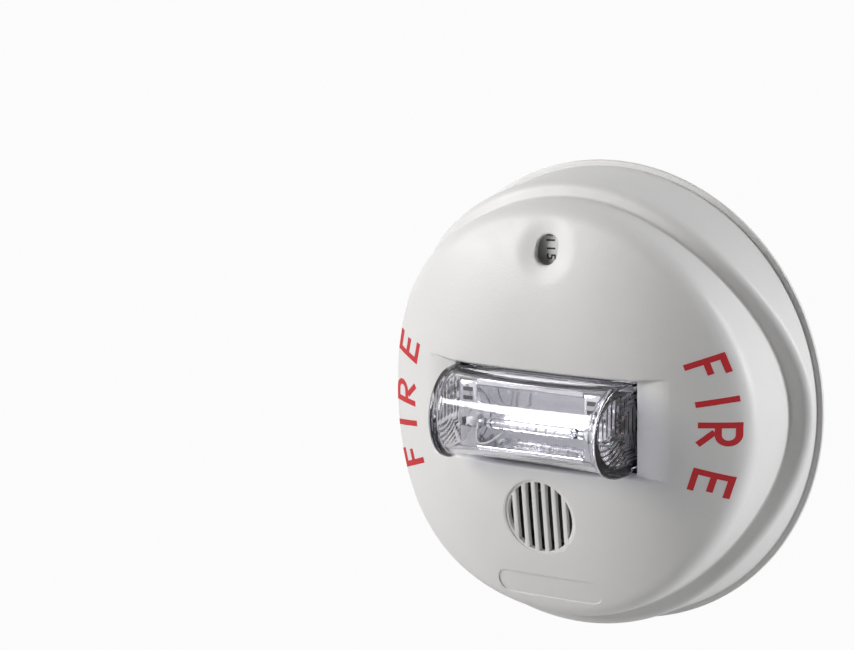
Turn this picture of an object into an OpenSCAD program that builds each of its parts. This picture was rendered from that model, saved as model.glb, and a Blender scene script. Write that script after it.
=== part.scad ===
// Wall-mounted fire alarm horn strobe.
// Origin: centre of the wall plate's rear face. +Z is up and the strobe faces -Y.
// The parts are drawn with x to the right, y up and z out from the wall, and
// outward() turns that drawing into the frame above. Millimetres and degrees.

/* [Cover] */
// Radius of the flange that meets the wall
flange_r = 86.4; // [85.6:0.1:87.4]
// Thickness of the flange
flange_t = 1.5; // [1.2:0.1:1.8]
// Wall thickness of the moulded cover
wall_t = 2.4; // [2:0.1:2.6]
// Height of the crown above the wall
crown_h = 56; // [55.5:0.1:56.5]
// How far the crown falls towards the left and right
crown_drop_x = 22.5; // [21.5:0.1:23]
// How far the crown falls towards the top and bottom
crown_drop_y = 13.5; // [13:0.1:14]
// Radius of the inner tier at its foot
step_r = 76.5; // [76:0.1:77]
// Height of the ledge round the inner tier, at the top and bottom
ledge_top = 30; // [29:0.5:31]
// How much lower that ledge is at the left and right
ledge_dip = 22; // [21:0.5:22.5]

/* [Lens] */
// Half length of the lens at its base
lens_base_x = 36.8; // [36:0.1:37]
// Half length of the lens at its front
lens_front_x = 34; // [33:0.1:34.5]
// Half height of the end plates
lens_half_y = 16.5; // [16:0.1:16.6]
// Height of the lens front above the wall
lens_front_z = 74; // [73:0.1:76]
// Thickness of the lens walls
lens_wall = 2.2; // [1.8:0.1:2.3]

/* [Flash tube] */
// Outer radius of the glass tube
tube_r = 2; // [1.8:0.1:2.1]
// Length of the glass tube
tube_len = 38; // [36:1:38]
// Turns of trigger wire round the tube
trigger_turns = 6; // [4:1:7]

/* [Sounder] */
// Radius of the round grille facet
grille_r = 14.25; // [14:0.05:14.4]
// Number of grille slots
grille_slots = 7; // [5:1:7]
// Distance from slot to slot
grille_pitch = 4.1; // [3.8:0.1:4.2]
// Width of one grille slot
grille_slot_w = 2.3; // [1.8:0.1:2.6]
// Radius of the piezo disc
piezo_r = 13; // [12:0.1:13]

/* [Candela selector] */
// Number of brightness settings round the dial
dial_settings = 7; // [5:1:8]
// Angle from one setting to the next
candela_step = 36; // [30:1:40]
// Radius of the dial
dial_r = 20; // [19:0.1:20.2]
// Width of the window over the dial
window_w = 8.5; // [7.5:0.1:9]
// Height of the window over the dial
window_h = 10.6; // [10:0.1:12]

/* [Wall plate] */
// Radius of the wall plate
plate_r = 79; // [78:0.1:79.4]
// Thickness of the wall plate
plate_t = 2.5; // [2.2:0.1:2.6]
// Screw spacing of a single-gang box, up and down
gang_spacing = 83.3; // [82.5:0.1:84]
// Screw spacing of an octagon box, left to right
octagon_spacing = 88.9; // [88:0.1:90]
// Width of the screw slots
slot_w = 4.4; // [4.2:0.1:4.8]
// Length of the screw slots
slot_len = 9; // [8:0.1:10]

/* [Hidden] */
$fn = 64;
eps = 0.01;
cut = 1;

// Colours
cover_colour = [0.88, 0.88, 0.87];
clear_colour = [0.85, 0.88, 0.95, 0.4];
white_plastic = [0.93, 0.93, 0.91];
black_plastic = [0.10, 0.10, 0.11];
grey_foam = [0.22, 0.22, 0.23];
mirror_colour = [0.85, 0.86, 0.88];
steel_colour = [0.70, 0.71, 0.72];
brass_colour = [0.80, 0.64, 0.32];
copper_colour = [0.78, 0.45, 0.25];
board_colour = [0.08, 0.34, 0.20];
ceramic_colour = [0.86, 0.82, 0.72];

// Cover outline
crown_ref = 75;
crown_pow_x = 2.7;
crown_pow_y = 3;
ledge_pow = 5;
step_draft = 4;
drum_draft = 5;
drum_r = flange_r - 2.1;
ledge_fall = 0.25;
shoulder_blend = 5;
edge_blend = 3;
corner_blend = 1;
facets_round = 72;

// Heights of the inner layers, from the wall out
housing_z = 9;
housing_t = 2;
housing_r = 73.2;
board_z = 18;
board_t = 1.6;
board_top = board_z + board_t;
lens_flange_z = 43.6;
gasket_z = 45.6;
pad_z = 46.6;
pocket_z = 49.7;

// Candela window and dial
window_y = 60;
dish_r = 12;
dish_depth = 1.4;
figure_r = 15.5;
dial_y = window_y - figure_r;
dial_z = 42.2;
dial_t = 1.6;
shaft_r = 2.5;

// Sounder
horn_y = -37;
grille_y = -36;
grille_depth = 0.9;
chamber_r = 14.6;
chamber_top = 48.3;
chamber_z = 30;

// Bayonet hooks on the wall plate and feet on the rear housing
hook_angles = [60, 150, 240, 330];
hook_width = 8;
hook_gap_z = 6.2;

// Screw places
boss_angles = [20, 160, 200, 340];
boss_circle = 62;
post_angles = [5, 70, 165, 250];
post_circle = 56;

// Terminals
term_angle = 315;
term_first = 36.5;
term_pitch = 6.5;
term_count = 4;
term_z = 5;
term_top = 12;
screw_y = -6;

// Latch
latch_angle = 127;
latch_w = 8;
latch_back = 60;
latch_tip = 80.4;

// Option switches
switch_y = 34;
switch_x = 24;

module outward() rotate([90, 0, 0]) children();

// Places its children at an angle round the centre, with local x pointing outwards
module at_angle(a, r = 0) rotate([0, 0, a]) translate([r, 0, 0]) children();

module ring(r_out, r_in, z0, z1) translate([0, 0, z0]) difference() {
    cylinder(r = r_out, h = z1 - z0);
    translate([0, 0, -cut]) cylinder(r = r_in, h = z1 - z0 + 2 * cut);
}

module block(x, y, z0, z1) translate([-x / 2, -y / 2, z0]) cube([x, y, z1 - z0]);

// Mesh between rows of points: every row is closed, and the first and last are capped or joined
function row_faces(rows, n) = [for (i = [0:rows - 2], j = [0:n - 1])
    [i * n + j, i * n + (j + 1) % n, (i + 1) * n + (j + 1) % n, (i + 1) * n + j]];

// Unit vectors across a direction
function unit(v) = v / norm(v);
function side_of(d) = abs(d[2]) > 0.9 ? unit(cross(d, [1, 0, 0])) : unit(cross(d, [0, 0, 1]));

// Tube of radius r swept along points
module tube_along(p, r, sides = 8) {
    n = len(p);
    dirs = [for (i = [0:n - 1]) unit(p[min(i + 1, n - 1)] - p[max(i - 1, 0)])];
    pts = [for (i = [0:n - 1], k = [0:sides - 1]) let (u = side_of(dirs[i]), v = cross(dirs[i], u),
        a = 360 * k / sides) p[i] + r * (cos(a) * u + sin(a) * v)];
    polyhedron(pts, concat(row_faces(n, sides), [[for (k = [sides - 1:-1:0]) k]],
        [[for (k = [0:sides - 1]) (n - 1) * sides + k]]));
}

// ---- Cover outline -------------------------------------------------------

function crown_z(x, y) = crown_h - crown_drop_x * pow(abs(x) / crown_ref, crown_pow_x)
    - crown_drop_y * pow(abs(y) / crown_ref, crown_pow_y);
function crown_at(r, a) = crown_z(r * cos(a), r * sin(a));
function ledge_z(a) = ledge_top - ledge_dip * pow(abs(cos(a)), ledge_pow);

// Radius where the inner tier's wall would meet the crown at angle a
function shoulder_r(a, r = 75, n = 12) = n == 0 ? r
    : shoulder_r(a, step_r - (crown_at(r, a) - ledge_z(a)) * tan(step_draft), n - 1);

// Points along a curve that leaves a towards b and arrives at c
function blend(a, b, c, n) = [for (i = [1:n]) let (t = i / n)
    (1 - t) * (1 - t) * a + 2 * t * (1 - t) * b + t * t * c];

// Radius where the ledge meets the drum wall
function edge_r(a) = (drum_r - (ledge_z(a) + ledge_fall * step_r - flange_t) * tan(drum_draft))
    / (1 - ledge_fall * tan(drum_draft));
function ledge_at(r, a) = ledge_z(a) - ledge_fall * (r - step_r);

// Outer outline at angle a, from near the centre to the wall, as [radius, height]
function outer_line(a) = let (rs = shoulder_r(a), zs = crown_at(rs, a), zl = ledge_z(a),
    re = edge_r(a), ze = ledge_at(re, a), b0 = rs - shoulder_blend, k = tan(step_draft))
    concat([for (f = [0.12, 0.25, 0.38, 0.5, 0.62, 0.74, 0.87, 1]) [f * b0, crown_at(f * b0, a)]],
        blend([b0, crown_at(b0, a)], [rs, zs], [rs + shoulder_blend * k, zs - shoulder_blend], 5),
        blend([step_r - corner_blend * k, zl + corner_blend], [step_r, zl],
            [step_r + corner_blend, ledge_at(step_r + corner_blend, a)], 2),
        [[re - edge_blend, ledge_at(re - edge_blend, a)]],
        blend([re - edge_blend, ledge_at(re - edge_blend, a)], [re, ze],
            [re + edge_blend * tan(drum_draft), ze - edge_blend], 4),
        [[drum_r, flange_t], [flange_r - 0.5, flange_t], [flange_r, flange_t - 0.5], [flange_r, 0]]);

// Inner outline at angle a, from the wall back to near the centre
function inner_line(a) = let (rs = shoulder_r(a) - wall_t, zl = ledge_z(a) - wall_t,
    re = edge_r(a) - wall_t, ze = ledge_at(edge_r(a), a) - wall_t)
    concat([[drum_r - wall_t, 0], [re + 0.1, ze - 1.5], [re - 1.5, ze + 0.3], [step_r - wall_t, zl]],
        blend([rs, crown_at(rs + wall_t, a) - wall_t - 3], [rs, crown_at(rs + wall_t, a) - wall_t],
            [rs - 3, crown_at(rs - 3, a) - wall_t], 2),
        [for (f = [0.85, 0.65, 0.45, 0.25]) [f * rs, crown_at(f * rs, a) - wall_t]]);

module cover_shell() {
    n = facets_round;
    lines = [for (j = [0:n - 1]) concat(outer_line(360 * j / n), inner_line(360 * j / n))];
    rows = len(lines[0]);
    pts = concat([for (i = [0:rows - 1], j = [0:n - 1]) let (a = 360 * j / n, q = lines[j][i])
        [q[0] * cos(a), q[0] * sin(a), q[1]]], [[0, 0, crown_h], [0, 0, crown_h - wall_t]]);
    top = rows * n;
    polyhedron(pts, concat(row_faces(rows, n), [for (j = [0:n - 1]) [top, (j + 1) % n, j]],
        [for (j = [0:n - 1]) [top + 1, (rows - 1) * n + j, (rows - 1) * n + (j + 1) % n]]));
}

// Block behind the lens pocket, whose top follows the crown inside the shell
module lens_pad(half_x = 47, half_y = 19.2) {
    steps = 12;
    rotate([90, 0, 0]) translate([0, 0, -half_y]) linear_extrude(2 * half_y)
        polygon(concat([[-half_x, pad_z], [half_x, pad_z]],
            [for (i = [steps:-1:0]) let (x = half_x * (2 * i / steps - 1))
                [x, crown_z(x, half_y) - 1.1]]));
}

// Frame on the crown at height y on its centre line, whose z axis is the crown's normal
module on_crown(y) {
    slope = crown_pow_y * crown_drop_y / crown_ref * pow(abs(y) / crown_ref, crown_pow_y - 1);
    translate([0, y, crown_z(0, y)]) rotate([-sign(y) * atan(slope), 0, 0]) children();
}

module on_grille() on_crown(grille_y) children();

// Shallow round dish with the candela window at its centre
module window_dish() {
    bowl_r = (dish_r * dish_r + dish_depth * dish_depth) / (2 * dish_depth);
    on_crown(window_y) translate([0, 0, bowl_r - dish_depth]) sphere(r = bowl_r, $fn = 96);
}

module horn_boss() difference() {
    translate([0, horn_y, 0]) ring(chamber_r + 2.2, chamber_r - 0.4, chamber_top + 0.7, 60);
    on_grille() block(60, 60, -1.2, 20);
}

module grille_cuts() on_grille() {
    translate([0, 0, -grille_depth]) cylinder(r = grille_r, h = 4);
    intersection() {
        translate([0, 0, -6]) cylinder(r = grille_r - 1, h = 7);
        for (i = [0:grille_slots - 1]) let (x = (i - (grille_slots - 1) / 2) * grille_pitch)
            hull() for (s = [-1, 1]) translate([x, s * grille_r, -7])
                cylinder(d = grille_slot_w, h = 9, $fn = 16);
    }
}

// Screw boss with a web that ties it to the cover's wall
module screw_boss(a) hull() {
    at_angle(a, boss_circle) translate([0, 0, housing_z + housing_t]) cylinder(r = 4, h = 30.5, $fn = 32);
    at_angle(a, step_r - wall_t - 2) translate([0, 0, 16]) cylinder(r = 1, h = 12, $fn = 12);
}

module cover() color(cover_colour) outward() difference() {
    union() {
        cover_shell();
        lens_pad();
        horn_boss();
        for (a = boss_angles) screw_boss(a);
    }
    block(2 * lens_base_x + 1.2, 2 * lens_half_y + 0.8, 40, 70);
    block(96, 2 * lens_half_y + 0.8, pocket_z, 70);
    grille_cuts();
    // Room for the sounder's gasket
    translate([0, horn_y, 40]) cylinder(r = chamber_r + 2.5, h = chamber_top + 0.7 - 40);
    hull() for (s = [-1, 1]) translate([0, window_y + s * (window_h - window_w) / 2, 43])
        cylinder(d = window_w, h = 17, $fn = 32);
    window_dish();
    for (a = boss_angles) at_angle(a, boss_circle)
        translate([0, 0, housing_z]) cylinder(r = 1.3, h = 14, $fn = 24);
    // Slot that lets a screwdriver reach the latch
    at_angle(latch_angle, latch_tip - 1) hull() for (y = [-1.6, 1.6]) translate([0, y, 10])
        rotate([0, 90, 0]) cylinder(r = 1, h = 8, $fn = 16);
}

// ---- Lens and flash tube -------------------------------------------------

// Half-round section of half width w, extruded along x
module half_round(w, top, z0) rotate([90, 0, 90]) translate([0, 0, -50]) linear_extrude(100) {
    translate([-w, z0]) square([2 * w, top - w - z0]);
    intersection() {
        translate([0, top - w]) circle(r = w, $fn = 96);
        translate([-w, z0]) square([2 * w, top - z0]);
    }
}

// Wedge that gives the lens its leaning ends, moved in by inset
module lens_ends(inset, z0 = 40, z1 = 80) {
    lean = (lens_base_x - lens_front_x) / (lens_front_z - 48);
    low = lens_base_x - inset + lean * (48 - z0);
    high = lens_base_x - inset - lean * (z1 - 48);
    rotate([90, 0, 0]) translate([0, 0, -30]) linear_extrude(60)
        polygon([[-low, z0], [low, z0], [high, z1], [-high, z1]]);
}

module lens() color(clear_colour) outward() {
    end_t = 3;
    barrel_w = lens_half_y - 1.2;
    difference() {
        union() {
            intersection() {
                half_round(barrel_w, lens_front_z - 1.2, gasket_z);
                lens_ends(0.2);
            }
            difference() {
                intersection() {
                    half_round(lens_half_y, lens_front_z, gasket_z);
                    lens_ends(0);
                }
                lens_ends(end_t, 51, 90);
            }
            block(2 * lens_base_x + 7.4, 2 * lens_half_y + 3.8, lens_flange_z, gasket_z);
        }
        intersection() {
            half_round(barrel_w - lens_wall, lens_front_z - 1.2 - lens_wall, lens_flange_z - cut);
            lens_ends(lens_wall + 0.4, 38, 90);
        }
    }
}

module lens_gasket() color(grey_foam) outward() difference() {
    block(2 * lens_base_x + 7.4, 2 * lens_half_y + 3.8, gasket_z, pad_z);
    block(2 * lens_base_x + 1.2, 2 * lens_half_y + 0.8, gasket_z - cut, pad_z + cut);
}

tube_y = -2.5;
tube_z = 57.5;
channel_x = 21.8;
tower_x = 29;

module reflector() color(mirror_colour) outward() {
    rotate([90, 0, 90]) translate([0, 0, -channel_x]) linear_extrude(2 * channel_x)
        polygon([[-12, 59.6], [-9.3, 52.2], [-4.4, 48.3], [4.4, 48.3], [9.3, 52.2], [12, 59.6],
            [10.9, 59.8], [8.2, 53], [4, 49.5], [-4, 49.5], [-8.2, 53], [-10.9, 59.8]]);
    for (s = [-1, 1]) difference() {
        translate([s * (channel_x + tower_x) / 2, 0, 0]) block(tower_x - channel_x, 24, 47, 59.6);
        translate([s * (channel_x + tower_x) / 2, 0, 0]) block(tower_x - channel_x - 2.4, 21.6, 46, 58.4);
        translate([s * tower_x, tube_y, tube_z]) rotate([0, 90, 0])
            cylinder(r = 2.6, h = 30, center = true);
        translate([s * (channel_x + tower_x) / 2, tube_y, 0]) block(3, 3.6, tube_z, 60);
        for (y = [3, 6, 9]) translate([s * (channel_x + tower_x) / 2, y, 0]) block(4, 1.4, 58, 60);
    }
}

module reflector_carrier() color(white_plastic) outward() difference() {
    block(2 * tower_x, 24, board_top, 47);
    block(2 * tower_x - 3.2, 20.8, board_top - cut, 45.4);
    block(2 * channel_x, 9, 44, 48);
    for (s = [-1, 1]) translate([s * 25, tube_y, 0]) cylinder(r = 1.4, h = 60);
    for (x = [-14, 14]) translate([x, 0, 0]) block(16, 30, 25, 40);
}

module on_tube() translate([0, tube_y, tube_z]) rotate([0, 90, 0]) children();

module flash_tube() color(clear_colour) outward() on_tube() difference() {
    cylinder(r = tube_r, h = tube_len, center = true);
    cylinder(r = tube_r - 0.5, h = tube_len - 3, center = true);
}

module tube_electrodes() color(steel_colour) outward() on_tube() for (s = [0, 1]) mirror([0, 0, s]) {
    difference() {
        translate([0, 0, tube_len / 2 - 2.6]) cylinder(r = tube_r + 0.3, h = 4.6);
        translate([0, 0, tube_len / 2 - 3]) cylinder(r = tube_r, h = 3);
    }
    translate([0, 0, tube_len / 2 + 2 - eps]) cylinder(r = 0.5, h = 4);
}

// Fine wire wound round the tube
module trigger_wire() color(copper_colour) outward() {
    steps = 20;
    coil_r = tube_r + 0.3;
    half = 13;
    n = trigger_turns * steps;
    tube_along([for (i = [0:n]) [half * (2 * i / n - 1), tube_y + coil_r * cos(360 * i / steps),
        tube_z + coil_r * sin(360 * i / steps)]], 0.2, 6);
}

module tube_leads() color(white_plastic) outward() for (s = [-1, 1]) {
    translate([s * 25, tube_y, board_top]) cylinder(r = 0.6, h = tube_z - board_top - 0.5);
}

// ---- Circuit board -------------------------------------------------------

module circuit_board() color(board_colour) outward() difference() {
    translate([0, 0, board_z]) cylinder(r = 65, h = board_t);
    for (a = boss_angles) at_angle(a, boss_circle)
        translate([0, 0, board_z - cut]) cylinder(r = 5.2, h = 5);
    for (a = post_angles) at_angle(a, post_circle)
        translate([0, 0, board_z - cut]) cylinder(r = 1.6, h = 5);
    translate([0, dial_y, board_z - cut]) cylinder(r = 3.4, h = 5);
    for (i = [0:term_count - 1]) at_angle(term_angle, term_first + term_pitch * i)
        block(1, 5.2, board_z - cut, board_top + cut);
}

module board_screws() color(steel_colour) outward() for (a = post_angles) at_angle(a, post_circle) {
    translate([0, 0, board_top]) difference() {
        cylinder(r = 2.6, h = 1.8);
        translate([0, 0, 1]) block(6, 0.7, 0, 2);
    }
    translate([0, 0, board_top - 6]) cylinder(r = 1.2, h = 6 + eps);
}

module storage_capacitor() color([0.16, 0.18, 0.30]) outward() translate([-42, 0, board_top + 8.1])
    rotate([90, 0, 0]) {
        cylinder(r = 8, h = 30, center = true);
        for (x = [-3, 3]) translate([x, 0, 14]) {
            cylinder(r = 0.4, h = 3.4);
            translate([0, 0, 3]) rotate([90, 0, 0]) cylinder(r = 0.4, h = 8.1);
        }
    }

module trigger_transformer() color([0.62, 0.54, 0.30]) outward() translate([40, 14, 0]) {
    block(11, 13, board_top, board_top + 2);
    block(6, 6, board_top + 2, board_top + 9);
    translate([0, 0, board_top + 2]) cylinder(r = 4.8, h = 7);
    block(11, 13, board_top + 9, board_top + 11);
}

module inductor() color(copper_colour) outward() translate([42, -9, board_top]) {
    cylinder(r = 7, h = 1.6);
    translate([0, 0, 1.6]) cylinder(r = 5.4, h = 7.6);
    translate([0, 0, 9.2]) cylinder(r = 7, h = 1.6);
}

module driver_chips() color(black_plastic) outward() {
    for (p = [[-34, 34, 10, 6], [34, 34, 8, 8], [-20, -24, 9, 5], [-36, -32, 6, 6]])
        translate([p[0], p[1], 0]) block(p[2], p[3], board_top, board_top + 2);
}

// ---- Sounder -------------------------------------------------------------

module on_horn() translate([0, horn_y, 0]) children();

module horn_chamber() color(black_plastic) outward() on_horn() difference() {
    union() {
        translate([0, 0, chamber_z]) cylinder(r = chamber_r, h = chamber_top - chamber_z);
        translate([0, 0, chamber_top - 1]) cylinder(r = chamber_r + 2.2, h = 1);
    }
    translate([0, 0, chamber_z + 5]) cylinder(r = piezo_r + 0.3, h = 20);
    translate([0, 0, chamber_z + 1.4]) cylinder(r = piezo_r - 1.6, h = 20);
    for (x = [-5, 5]) translate([x, 0, chamber_z - cut]) cylinder(r = 0.7, h = 5);
}

module piezo_disc() color(brass_colour) outward() on_horn()
    translate([0, 0, chamber_z + 5]) cylinder(r = piezo_r, h = 0.4);

module piezo_ceramic() color(ceramic_colour) outward() on_horn()
    translate([0, 0, chamber_z + 4.6]) cylinder(r = piezo_r - 3, h = 0.4);

module piezo_leads() color([0.7, 0.1, 0.1]) outward() on_horn() for (x = [-5, 5])
    translate([x, 0, board_top]) cylinder(r = 0.5, h = chamber_z + 4.6 - board_top);

// Plate behind the slots that stops anything being pushed into the sounder
module horn_baffle() color(black_plastic) outward() on_horn() {
    ring(piezo_r + 0.3, piezo_r - 1.5, chamber_top - 4, chamber_top - 2.6);
    translate([0, 0, chamber_top - 4]) cylinder(r = 9.5, h = 1.4);
    for (a = [90, 210, 330]) at_angle(a, 10.4) block(3.4, 2.4, chamber_top - 4, chamber_top - 2.6);
}

module horn_gasket() color(grey_foam) outward() on_horn()
    ring(chamber_r + 2.2, chamber_r - 0.4, chamber_top, chamber_top + 0.7);

// ---- Rear housing --------------------------------------------------------

module foot(a) rotate([0, 0, a - hook_width / 2]) rotate_extrude(angle = hook_width)
    polygon([[62, 3.2], [69.4, 3.2], [69.4, 5.9], [64.4, 5.9], [64.4, housing_z + eps],
        [62, housing_z + eps]]);

module rear_housing() color(black_plastic) outward() difference() {
    union() {
        translate([0, 0, housing_z]) cylinder(r = housing_r, h = housing_t);
        ring(housing_r, housing_r - 1.8, housing_z, housing_z + 5);
        for (a = hook_angles) foot(a);
        for (a = post_angles) at_angle(a, post_circle)
            translate([0, 0, housing_z]) cylinder(r = 3, h = board_z - housing_z);
    }
    // Window over the terminal block, wide enough for the whole twist
    rotate([0, 0, 286]) rotate_extrude(angle = 40) translate([31.8, housing_z - cut]) square([29.6, 5]);
    for (a = boss_angles) at_angle(a, boss_circle)
        translate([0, 0, housing_z - cut]) cylinder(r = 1.7, h = 5);
    for (a = post_angles) at_angle(a, post_circle)
        translate([0, 0, board_z - 6.2]) cylinder(r = 1.2, h = 8);
    translate([0, dial_y, housing_z - cut]) cylinder(r = 4.2, h = 5);
    for (s = [-1, 1]) translate([s * switch_x, switch_y, 0]) block(8.6, 3.6, housing_z - cut, 12);
}

module pan_screw(head_r, head_h, shank_r, shank_len) {
    difference() {
        cylinder(r = head_r, h = head_h);
        translate([0, 0, -eps]) block(2.2 * head_r, 0.7, 0, head_h / 2);
        translate([0, 0, -eps]) block(0.7, 2.2 * head_r, 0, head_h / 2);
    }
    translate([0, 0, head_h - eps]) cylinder(r = shank_r, h = shank_len);
}

module housing_screws() color(steel_colour) outward() for (a = boss_angles) at_angle(a, boss_circle)
    translate([0, 0, housing_z - 1.9]) pan_screw(2.8, 1.9, 1.3, 12);

// ---- Candela selector ----------------------------------------------------

module on_dial() translate([0, dial_y, 0]) children();

module candela_dial() color(white_plastic) outward() on_dial() difference() {
    union() {
        translate([0, 0, dial_z]) cylinder(r = dial_r, h = dial_t);
        translate([0, 0, dial_z - 4]) cylinder(r = 5, h = 4.5);
    }
    translate([0, 0, dial_z - 5]) cylinder(r = shaft_r, h = 5);
    // Detent notches round the rim, one for each setting
    for (i = [0:dial_settings - 1]) at_angle(-90 + (i - 4) * candela_step, dial_r + 0.3)
        translate([0, 0, dial_z - cut]) cylinder(r = 1, h = 4);
}

module selector_shaft() color(white_plastic) outward() on_dial() {
    difference() {
        translate([0, 0, housing_z - 0.4]) cylinder(r = 4, h = 3.4);
        block(6.4, 1.2, housing_z - cut, housing_z + 0.9);
    }
    translate([0, 0, housing_z + 2.9]) cylinder(r = shaft_r, h = dial_z - housing_z - 2.9);
}

module selector_switch() color(black_plastic) outward() on_dial() difference() {
    block(13, 13, board_top, board_top + 5);
    translate([0, 0, board_top - cut]) cylinder(r = shaft_r + 0.06, h = 8);
}

// ---- Option switches -----------------------------------------------------

module slide_switch(s) translate([s * switch_x, switch_y, 0]) difference() {
    block(12, 6.4, board_z - 5, board_z);
    block(9.4, 4.6, board_z - 4.2, board_z - 1.2);
    block(7.2, 2.8, board_z - 6, board_z - 4);
}

// The slider stands at the left end of its travel
module switch_slider(s) translate([s * switch_x - 1.5, switch_y, 0]) {
    block(4.6, 4, board_z - 4, board_z - 1.6);
    block(3.2, 2.4, housing_z - 1.4, board_z - 4 + eps);
}

module tone_switch() color(black_plastic) outward() slide_switch(-1);
module volume_switch() color(black_plastic) outward() slide_switch(1);
module tone_slider() color(white_plastic) outward() switch_slider(-1);
module volume_slider() color(white_plastic) outward() switch_slider(1);

// ---- Wall plate ----------------------------------------------------------

module hook(a) rotate([0, 0, a - hook_width / 2]) rotate_extrude(angle = hook_width)
    polygon([[70, plate_t - eps], [72, plate_t - eps], [72, 7.8], [66, 7.8], [66, hook_gap_z],
        [70, hook_gap_z]]);

// Round-ended slot along x
module screw_slot() {
    block(slot_len - slot_w, slot_w, -cut, plate_t + cut);
    for (s = [-1, 1]) translate([s * (slot_len - slot_w) / 2, 0, -cut])
        cylinder(d = slot_w, h = plate_t + 2 * cut);
}

module mounting_plate() color(white_plastic) outward() difference() {
    union() {
        cylinder(r = plate_r, h = plate_t, $fn = 128);
        ring(73.9, 71.9, plate_t - eps, 4.4);
        for (a = hook_angles) hook(a);
        for (a = [15, 75, 105, 195, 225, 255, 285, 345]) at_angle(a, 52) block(18, 1.4, plate_t - eps, 3.8);
        // Guides, caps and spring seat for the latch
        at_angle(latch_angle) {
            for (s = [-1, 1]) translate([68.5, s * (latch_w / 2 + 1.25), 0]) block(15, 2, plate_t - eps, 7);
            for (s = [-1, 1]) translate([66, s * (latch_w / 2 - 0.25), 0]) block(5, 3, 5.9, 7);
            translate([49, 0, 0]) block(2, 8, plate_t - eps, 6.6);
        }
    }
    // Wire opening, with rounded corners
    translate([0, 3.5, 0]) {
        block(56, 31, -cut, 4);
        block(50, 37, -cut, 4);
        for (x = [-25, 25], y = [-15.5, 15.5]) translate([x, y, -cut]) cylinder(r = 3, h = 6);
    }
    for (s = [-1, 1]) {
        translate([0, s * gang_spacing / 2, 0]) rotate([0, 0, 90]) screw_slot();
        translate([s * octagon_spacing / 2, 0, 0]) screw_slot();
    }
    // Gap in the rim for the latch
    at_angle(latch_angle, 73) block(4, 2 * (latch_w / 2 + 0.25), plate_t, 6);
}

module terminal(i) at_angle(term_angle, term_first + term_pitch * i) children();

module terminal_block() color(black_plastic) outward() difference() {
    at_angle(term_angle, term_first + 1.5 * term_pitch)
        translate([0, -2, 0]) block(26.6, 14, plate_t, term_top);
    for (i = [0:term_count - 1]) {
        r = term_first + term_pitch * i;
        intersection() {
            ring(r + 1.4, r - 1.4, term_z, term_top + cut);
            at_angle(term_angle, r) translate([0, 5, 0]) block(8, 16, 0, 20);
        }
        terminal(i) translate([0, screw_y, 0]) {
            block(5, 5.2, 9, term_top + cut);
            translate([0, 0, 4]) cylinder(r = 1.6, h = 10);
            translate([0, -1, 6.6]) rotate([90, 0, 0]) cylinder(r = 1.5, h = 5);
        }
    }
}

module terminal_screws() color(steel_colour) outward() for (i = [0:term_count - 1])
    terminal(i) translate([0, screw_y, 0]) {
        difference() {
            translate([0, 0, 10.1]) cylinder(r = 2.3, h = 1.8);
            block(5, 0.7, 11.1, 12.2);
        }
        translate([0, 0, 4.6]) cylinder(r = 1.4, h = 5.5 + eps);
    }

module terminal_clamps() color(brass_colour) outward() for (i = [0:term_count - 1])
    terminal(i) translate([0, screw_y, 0]) difference() {
        block(4.8, 5, 9.1, 10.1);
        cylinder(r = 1.45, h = 20);
    }

module contact_sockets() color(brass_colour) outward() for (i = [0:term_count - 1]) {
    r = term_first + term_pitch * i;
    intersection() {
        union() {
            ring(r + 1.35, r + 0.5, term_z, 10.5);
            ring(r - 0.5, r - 1.35, term_z, 10.5);
            ring(r + 1.35, r - 1.35, term_z, term_z + 0.5);
        }
        at_angle(term_angle, r) block(6, 5.6, 0, 20);
    }
}

module contact_blades() color(brass_colour) outward() for (i = [0:term_count - 1])
    terminal(i) block(0.8, 5, term_z + 1, board_top + 0.6);

// ---- Latch ---------------------------------------------------------------

module lock_latch() color(white_plastic) outward() at_angle(latch_angle) {
    translate([(latch_back + latch_tip) / 2, 0, 0]) block(latch_tip - latch_back, latch_w, 3, 5.6);
    translate([latch_tip - 1.7, 0, 0]) block(3.4, 7, 3, 11.5);
}

module latch_spring() color(steel_colour) outward() at_angle(latch_angle) {
    turns = 6;
    steps = 14;
    n = turns * steps;
    start = 50.3;
    length = latch_back - start - 0.3;
    tube_along([for (i = [0:n]) [start + length * i / n, 1.4 * cos(360 * i / steps),
        4.4 + 1.4 * sin(360 * i / steps)]], 0.25, 6);
}

mounting_plate();
terminal_block();
terminal_screws();
terminal_clamps();
contact_sockets();
lock_latch();
latch_spring();
cover();
lens();
lens_gasket();
reflector();
reflector_carrier();
flash_tube();
tube_electrodes();
trigger_wire();
tube_leads();
circuit_board();
board_screws();
storage_capacitor();
trigger_transformer();
inductor();
driver_chips();
contact_blades();
horn_chamber();
horn_baffle();
horn_gasket();
piezo_disc();
piezo_ceramic();
piezo_leads();
rear_housing();
housing_screws();
selector_switch();
tone_switch();
volume_switch();
candela_dial();
selector_shaft();
tone_slider();
volume_slider();
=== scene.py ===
"""Looks for the wall-mounted horn strobe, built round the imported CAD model.

The small functions below draw in the CAD's own sketch frame, in millimetres: x to the right,
y up and z out from the wall. to_world() turns that into the model's frame in metres.
"""

import math

import bmesh
import bpy
import numpy as np
from mathutils import Matrix, Vector


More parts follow.
